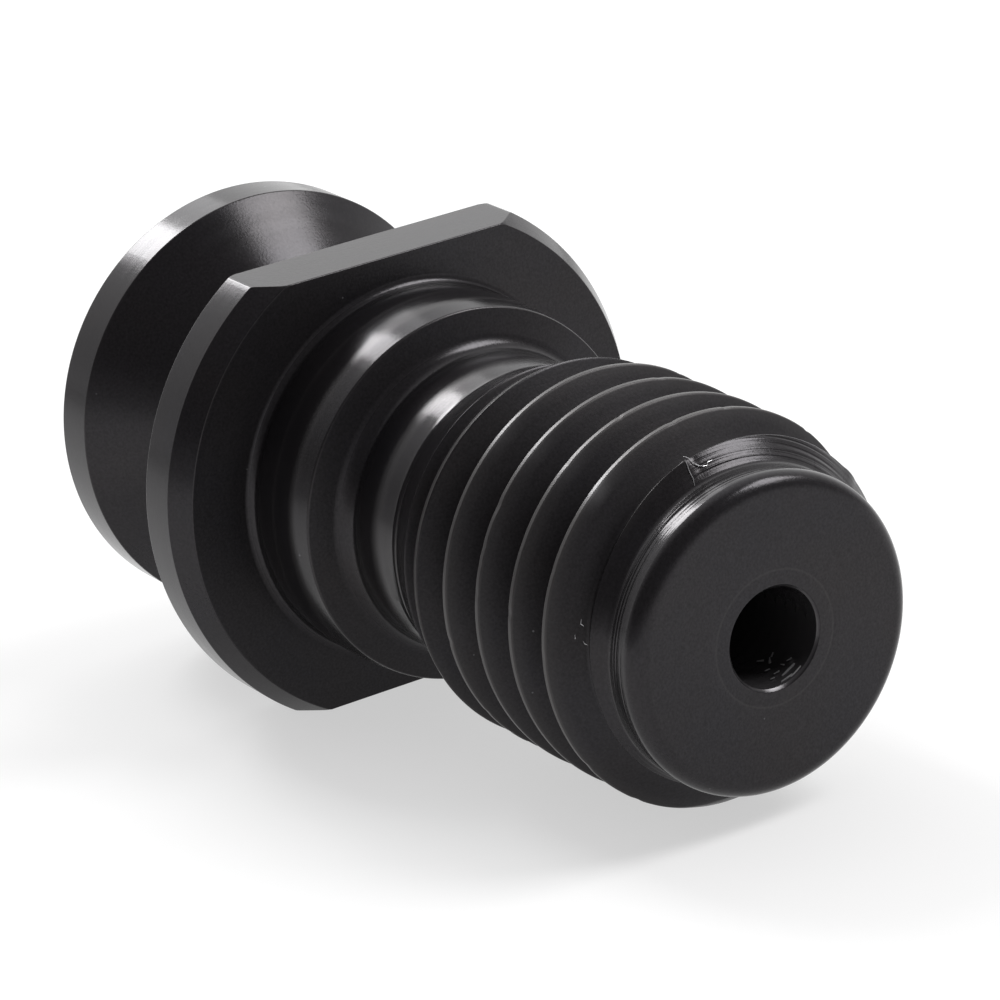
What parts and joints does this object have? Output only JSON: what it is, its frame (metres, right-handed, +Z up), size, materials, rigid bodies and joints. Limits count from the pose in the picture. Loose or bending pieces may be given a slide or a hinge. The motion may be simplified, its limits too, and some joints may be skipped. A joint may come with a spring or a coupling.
{
  "type": "pull stud",
  "caption": "One-piece 45 degree retention knob for a 40 taper tool holder: threaded shank, pilot, collar with two wrench flats, neck and coned head, bored through for coolant.",
  "frame": {"origin": "on the stud's axis, in the plane of the collar's seating face", "axes": "the stud lies as it rests: its axis runs along Y, head towards +Y and thread towards -Y, with the thread end lower by 4.16 degrees; X runs along the wrench flats, +Z is up"},
  "size_m": [0.023, 0.0408, 0.0199],
  "materials": {
    "black_oxide_steel": "satin black oxide over turned steel"
  },
  "bodies": {
    "root": {"stud": "black_oxide_steel"}
  },
  "joints": []
}
